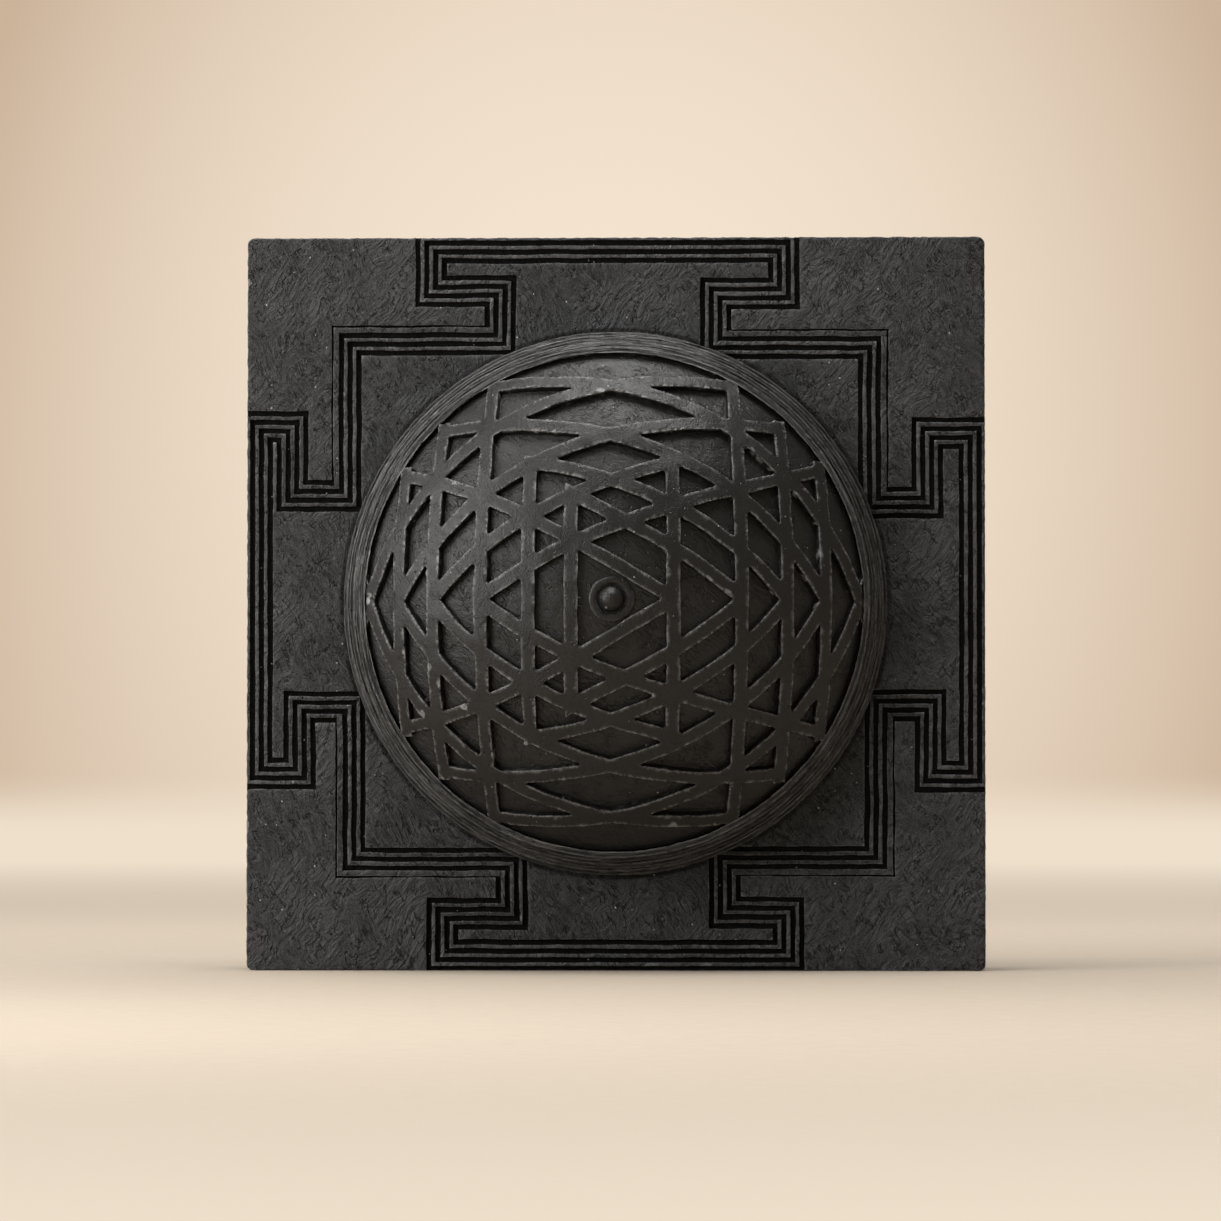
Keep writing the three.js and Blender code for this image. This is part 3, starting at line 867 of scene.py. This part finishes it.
# nine triangles as shares of the arc from the dome's top to the ring: places of apex and base on the level
# axis, half the base, how far a side swells and where; two of them meet the ring
lattice = dict(bandWidth=2.85, tip=0.42, ringTip=0.5, runOn=0.05, steps=36, baseSteps=30, sink=0.15,
               voxel=0.27, flatten=0.13, wallShadeFrom=0.2, triangles=192000, reach=50.8, wobbleSize=7.0,
               wobble=0.45, chipSize=1.2, chip=0.06, swellSize=5.0, swell=0.16)
triangles = [
    dict(apex=0.225, base=-0.83, half=0.5, bow=0.045, lean=-0.4, runOn=0.75),
    dict(apex=0.818, base=-0.678, half=0.674, bow=0.243, lean=0.15, runOn=0.75),
    dict(apex=0.985, base=-0.482, half=0.86, bow=0.298, lean=0.04, runOn=1, tip=lattice["ringTip"]),
    dict(apex=0.657, base=-0.302, half=0.51, bow=0.098, lean=0.08),
    dict(apex=0.48, base=-0.146, half=0.385, bow=0.021, lean=0.5),
    dict(apex=-0.68, base=0.222, half=0.507, bow=0.08, lean=0.2),
    dict(apex=-0.985, base=0.474, half=0.86, bow=0.302, lean=0.05, runOn=1, tip=lattice["ringTip"]),
    dict(apex=-0.832, base=0.656, half=0.682, bow=0.237, lean=0.15, runOn=0.75),
    dict(apex=-0.49, base=0.82, half=0.522, bow=0.058, lean=0.6, runOn=0.75),
]


def onDome(flat):
    # a place given by its way along the arc from the dome's top
    angle = flat.length / dome["sphereRadius"]
    turn = math.atan2(flat.y, flat.x)
    reach = dome["sphereRadius"] * math.sin(angle)
    height = domeCentre + dome["sphereRadius"] * math.cos(angle)
    return world(reach * math.cos(turn), reach * math.sin(turn), height)


def bandEdges(line):
    edges = []
    for index, place in enumerate(line):
        along = (line[min(index + 1, len(line) - 1)] - line[max(index - 1, 0)]).normalized()
        aside = Vector((-along.y, along.x)) * lattice["bandWidth"] / 2
        edges.append([place + aside, place - aside])
    return edges


def baseLine(triangle):
    reach = triangle["half"] * arcReach + lattice["bandWidth"] * triangle.get("runOn", lattice["runOn"])
    steps = lattice["baseSteps"]
    level = triangle["base"] * arcReach
    return bandEdges([Vector((level, reach * (2 * step / steps - 1))) for step in range(steps + 1)])


def sideLine(triangle, upDown):
    apex, base, half = triangle["apex"], triangle["base"], triangle["half"]
    chord = Vector((base - apex, half))
    normal = Vector((half, apex - base)).normalized()
    if normal.y < 0:
        normal.negate()
    line = []
    for index in range(lattice["steps"] + 1):
        f = index / lattice["steps"]
        swell = 4 * triangle["bow"] * f * (1 - f) * (1 + triangle["lean"] * (1 - 2 * f))
        place = Vector((apex, 0)) + chord * f + normal * swell
        line.append(Vector((place.x, place.y * upDown)) * arcReach)
    edges = bandEdges(line)
    # both ends are cut off upright
    foot = (-1, line[-1] - line[-2], base, 0.5)
    tip = (0, line[0] - line[1], apex, triangle.get("tip", lattice["tip"]))
    for index, heading, level, share in (foot, tip):
        outer = level * arcReach + math.copysign(lattice["bandWidth"] * share, heading.x)
        edges[index] = [place + heading * ((outer - place.x) / heading.x) for place in edges[index]]
    return edges


def addBand(edges):
    # a strip laid on the dome, then drawn down to the floor of the cells
    band, column, row = gridPiece("band", len(edges) - 1, 1)
    writePlaces(band, np.array([onDome(edges[where][1 - side]) for where, side in zip(column, row)]))
    editAll(band, "FACE")
    bpy.ops.mesh.extrude_region_move()
    shrink = (floorRadius - lattice["sink"]) / dome["sphereRadius"]
    bpy.ops.transform.resize(value=(shrink, shrink, shrink), center_override=world(0, 0, domeCentre))
    faceOutwards()
    objectMode()
    return band


def buildLattice():
    bands = []
    for triangle in triangles:
        lines = (baseLine(triangle), sideLine(triangle, 1), sideLine(triangle, -1))
        bands += [addBand(line) for line in lines]
    joinPieces(bands)
    piece = newPiece("triangleLattice")
    places = readPlaces(piece)
    radii = radiiOf(places)
    over = radii > lattice["reach"]
    scaleRadii(places, over, lattice["reach"] / radii[over])
    writePlaces(piece, places)
    addModifier(piece, "REMESH", mode="VOXEL", voxel_size=lattice["voxel"] * mm, adaptivity=0.0)

    # tops laid flat on the sphere again, then thinned
    middle = np.array(world(0, 0, domeCentre))
    places = readPlaces(piece)
    reach = np.linalg.norm(places - middle, axis=1)
    top = reach > (dome["sphereRadius"] - lattice["flatten"]) * mm
    places[top] = middle + (places[top] - middle) * (dome["sphereRadius"] * mm / reach[top])[:, None]
    writePlaces(piece, places)
    count = triangleCount(piece)
    addModifier(piece, "DECIMATE", ratio=lattice["triangles"] / count)
    print("bands thinned from", count, "triangles")
    below = dome["sphereRadius"] - np.linalg.norm(readPlaces(piece) - middle, axis=1) / mm
    # the band walls below their tops are marked for painted shade
    markPaintedShade(piece, below > lattice["wallShadeFrom"])
    roughen(piece, lattice["wobbleSize"], lattice["wobble"], "RGB_TO_XYZ", layers=1)
    roughen(piece, lattice["chipSize"], lattice["chip"], "RGB_TO_XYZ")
    roughen(piece, lattice["swellSize"], lattice["swell"])
    return piece


finishPiece(buildLattice(), "triangle_lattice", latticeStone)


# turned pieces

def turnedPiece(name, section, segments, closed=True):
    # section of [radius, height] points, spun round the dome's axis
    deselectAll()
    bpy.ops.mesh.primitive_circle_add(vertices=len(section), radius=1, fill_type="NOTHING")
    piece = newPiece(name)
    writePlaces(piece, np.array([tuple(world(radius, 0, height)) for radius, height in section]))
    if not closed:
        ends = edgeEnds(piece)
        pick(piece, "EDGE", np.abs(ends[:, 0] - ends[:, 1]) == len(section) - 1)
        bpy.ops.mesh.delete(type="EDGE")
        objectMode()
    editAll(piece)
    bpy.ops.mesh.spin(steps=segments, angle=2 * math.pi, center=world(0, 0), axis=(0, 1, 0))
    objectMode()
    closeSeams(piece)
    return piece


def fineSection(points, spacing):
    # the same section with more points along its long runs
    dense = []
    for (r0, h0), (r1, h1) in zip(points, points[1:] + points[:1]):
        steps = max(1, round(math.hypot(r1 - r0, h1 - h0) / spacing))
        dense += [(r0 + (r1 - r0) * i / steps, h0 + (h1 - h0) * i / steps) for i in range(steps)]
    return dense


rim = dict(count=3, lip=0.7, spread=4.9, edge=0.16, steps=2, lean=0.16, segments=640, spacing=0.36,
           wobbleSize=4.0, wobble=0.3, chipSize=0.9, chip=0.15)


def buildRing(level, name):
    ringHeight = dome["rimHeight"] / rim["count"] - dome["seam"]
    low = dome["seam"] + level * (ringHeight + dome["seam"])
    high = low + ringHeight
    # the outside climbs in small steps, each a little further in than the one below
    reach = dome["ringRadius"] + rim["spread"]
    climbs = rim["count"] * rim["steps"]
    ledge = (rim["spread"] - rim["lip"]) / climbs
    section = [(dome["ringRadius"], low), (reach - ledge * level * rim["steps"] - rim["edge"], low)]
    for step in range(rim["steps"]):
        outer = reach - ledge * (level * rim["steps"] + step)
        foot = low + ringHeight * step / rim["steps"]
        head = low + ringHeight * (step + 1) / rim["steps"]
        if step == 0:
            foot += rim["edge"]
        inner = outer - rim["lean"]
        section += [(outer, foot), (inner, head - rim["edge"]), (inner - rim["edge"], head)]
    section.append((dome["ringRadius"], high))
    piece = turnedPiece(name, fineSection(section, rim["spacing"]), rim["segments"])
    roughen(piece, rim["wobbleSize"], rim["wobble"], "RGB_TO_XYZ")
    roughen(piece, rim["chipSize"], rim["chip"], "RGB_TO_XYZ")
    return piece


for level, word in enumerate(("lower", "middle", "upper")):
    ring = buildRing(level, "girdleRing" + word.title())
    finishPiece(ring, "girdle_ring_" + word, rimStone, 40)

bead = dict(radius=2.6, pegRadius=1.2, pegLength=2.6, steps=20, segments=96, roughSize=1.6, rough=0.12)


def buildBead():
    low = seatLevel + dome["seam"]
    foot = seatLevel - bead["pegLength"]
    profile = [(0, foot), (bead["pegRadius"], foot), (bead["pegRadius"], low)]
    for index in range(bead["steps"]):
        angle = math.pi / 2 * index / bead["steps"]
        profile.append((bead["radius"] * math.cos(angle), low + bead["radius"] * math.sin(angle)))
    profile.append((0, low + bead["radius"]))
    piece = turnedPiece("binduBead", profile, bead["segments"], closed=False)
    roughen(piece, bead["roughSize"], bead["rough"])
    return piece


collar = dict(gap=0.4, wall=1.5, height=0.5, crown=0.3, steps=8, spacing=0.24, roughSize=2.0, rough=0.2)


def buildCollar():
    low = seatLevel + dome["seam"]
    inner = bead["radius"] + collar["gap"]
    outer = inner + collar["wall"]
    middle, half = (inner + outer) / 2, collar["wall"] / 2
    section = [(inner, low), (outer, low)]
    for index in range(collar["steps"] + 1):
        angle = math.pi * index / collar["steps"]
        height = low + collar["height"] + collar["crown"] * (math.sin(angle) - 1)
        section.append((middle + half * math.cos(angle), height))
    piece = turnedPiece("binduCollar", fineSection(section, collar["spacing"]), bead["segments"])
    roughen(piece, collar["roughSize"], collar["rough"], "RGB_TO_XYZ")
    return piece


finishPiece(buildBead(), "bindu_bead", latticeStone)
finishPiece(buildCollar(), "bindu_collar", latticeStone)
print("dome pieces made")


# stage and light, in metres

# foot and its reach set the painted shadow on the floor round the slab's foot
stage = dict(floor=(0.465, 0.389, 0.307), foot=0.75, footShadeReach=0.4, shade=(0.32, 0.28, 0.232),
             far=(0.86, 0.745, 0.60), wall=(0.91, 0.78, 0.635), edge=(0.60, 0.45, 0.325), middle=-0.17,
             near=-3.0, reach=6.0, width=12.0, curve=1.0, curveSteps=16, height=1.4,
             glow=0.08, backGlow=(0.2, 1.8), frontGlow=(-0.75, -0.25), horizon=(-0.018, 0.055), climb=0.006,
             lightPoolSideFalloff=(2.2, 1.55), lightPoolHeightFalloff=(0.5, 2.0), mottleScale=220.0, mottle=0.12, mottleTone=0.6,
             mottleRange=(0.35, 0.65))


def seenRays(tree):
    # 1 for rays that show the background to the camera, straight or in a gloss
    rays = addNode(tree, "LightPath")
    seen = maths(tree, "ADD", rays.outputs["Is Camera Ray"], rays.outputs["Is Glossy Ray"])
    return maths(tree, "ADD", seen, rays.outputs["Is Transmission Ray"], clamp=True)


def litFloor(tree, place, back, seen):
    # a little mottled, darker towards the slab's foot by a painted shadow, and darker for other rays, so that
    # it throws less back
    mottled = noiseAt(tree, place, stage["mottleScale"], 5.0, 0.75)
    mottled = ramp(tree, mottled, *stage["mottleRange"], 0.0, stage["mottle"])
    sheet = blend(tree, mottled, stage["floor"], timesColour(stage["floor"], stage["mottleTone"]))
    footShade = ramp(tree, maths(tree, "ABSOLUTE", back), 0.0, stage["footShadeReach"], stage["foot"], 1.0)
    return blend(tree, seen, stage["shade"], vectors(tree, "SCALE", sheet, footShade))


def backdropColour(tree, parts):
    # painted light: paler towards the middle of the wall and darker to the sides and away from its middle
    # height, as a pool of light; and a soft horizon where floor and wall meet
    across, back, up = parts["X"], parts["Y"], parts["Z"]
    side = maths(tree, "ABSOLUTE", maths(tree, "SUBTRACT", across, stage["middle"]))
    sidePower, sideShare = stage["lightPoolSideFalloff"]
    side = maths(tree, "MULTIPLY", maths(tree, "POWER", side, sidePower), sideShare)
    highLevel, highPower = stage["lightPoolHeightFalloff"]
    high = maths(tree, "ABSOLUTE", maths(tree, "SUBTRACT", up, highLevel))
    high = maths(tree, "POWER", high, highPower)
    wallWithLightPool = blend(tree, maths(tree, "ADD", side, high, clamp=True), stage["wall"], stage["edge"])
    climb = maths(tree, "SUBTRACT", back, stage["reach"] - stage["curve"])
    climb = maths(tree, "ADD", up, maths(tree, "MULTIPLY", climb, stage["climb"]))
    return blend(tree, ramp(tree, climb, *stage["horizon"]), stage["far"], wallWithLightPool)


def paper():
    # the floor near the object is lit and keeps the shadow, with a painted shadow round the slab's foot; far
    # from it the paper shows its own tones, with a painted pool of light on the wall
    material, tree, shader, place = newMaterial("sweepPaper")
    parts = addNode(tree, "SeparateXYZ", {"Vector": place}).outputs
    seen = seenRays(tree)
    feed(tree, shader, {"Base Color": litFloor(tree, place, parts["Y"], seen), "Roughness": 0.95,
                        "Specular IOR Level": 0.1})
    glow = addNode(tree, "Emission", {"Color": backdropColour(tree, parts), "Strength": 1.0})
    behind = ramp(tree, parts["Y"], *stage["backGlow"], stage["glow"], 1.0)
    share = maths(tree, "MAXIMUM", behind, ramp(tree, parts["Y"], *stage["frontGlow"], 1.0, 0.0))
    mix = addNode(tree, "MixShader", {0: maths(tree, "MULTIPLY", seen, share), 1: shader.outputs[0],
                                      2: glow.outputs[0]})
    feed(tree, tree.nodes["Material Output"], {"Surface": mix.outputs[0]})
    return material


def buildStage():
    # a sweep of paper: flat floor, a quarter round and a wall
    deselectAll()
    bpy.ops.mesh.primitive_plane_add(size=1, location=(0, 0, 0))
    sweep = newPiece("sweep")
    places = readPlaces(sweep)
    places[:, 0] = np.sign(places[:, 0]) * stage["width"] / 2
    places[:, 1] = np.where(places[:, 1] < 0, stage["near"], stage["reach"] - stage["curve"])
    writePlaces(sweep, places)
    pick(sweep, "EDGE", bothEnds(sweep, places[:, 1] > 0))
    angles = np.linspace(0, math.pi / 2, stage["curveSteps"] + 1)
    for here, there in zip(angles, angles[1:]):
        move = (0, stage["curve"] * (math.sin(there) - math.sin(here)),
                stage["curve"] * (math.cos(here) - math.cos(there)))
        bpy.ops.mesh.extrude_region_move(TRANSFORM_OT_translate={"value": move})
    bpy.ops.mesh.extrude_region_move(TRANSFORM_OT_translate={"value": (0, 0, stage["height"])})
    objectMode()
    smooth(sweep, 40)
    sweep.data.materials.append(paper())


buildStage()

lamps = [
    dict(name="topBox", place=(0.0, -0.125, 0.80), aim=(0, -0.02, 0.10), size=0.4, power=5.3),
    dict(name="keyLeft", place=(-0.40, -0.23, 0.25), aim=(0, 0, 0.06), size=0.4, power=2.6),
    dict(name="backBox", place=(0.0, 0.9, 1.1), aim=(0, 0.3, 0), size=1.2, power=6.0),
]
for lamp in lamps:
    deselectAll()
    bpy.ops.object.light_add(type="AREA", location=lamp["place"])
    light = bpy.context.object
    light.name = lamp["name"]
    light.data.size = lamp["size"]
    light.data.energy = lamp["power"]
    towards = Vector(lamp["aim"]) - Vector(lamp["place"])
    light.rotation_euler = towards.to_track_quat("-Z", "Y").to_euler()

# the room is pale above and behind the object, less so on the right, and dim on the camera's side, but what
# is seen of it is a plain beige
room = dict(bright=1.2, dim=0.03, seen=(0.33, 0.285, 0.235), upShare=0.6, rightShare=0.5, fade=(-0.2, 0.7))
air = bpy.data.worlds.new("air")
air.use_nodes = True
tree = air.node_tree
parts = addNode(tree, "SeparateXYZ", {"Vector": addNode(tree, "TexCoord").outputs["Generated"]})
lean = maths(tree, "ADD", maths(tree, "MULTIPLY", parts.outputs["Z"], room["upShare"]), parts.outputs["Y"])
lean = maths(tree, "SUBTRACT", lean, maths(tree, "MULTIPLY", parts.outputs["X"], room["rightShare"]))
strength = ramp(tree, lean, *room["fade"], room["dim"], room["bright"])
seen = seenRays(tree)
feed(tree, tree.nodes["Background"], {"Strength": maths(tree, "MAXIMUM", strength, seen),
                                      "Color": blend(tree, seen, (1, 1, 1), room["seen"])})
bpy.context.scene.world = air
bpy.context.scene.view_settings.view_transform = "Standard"
print("stage and lamps set")
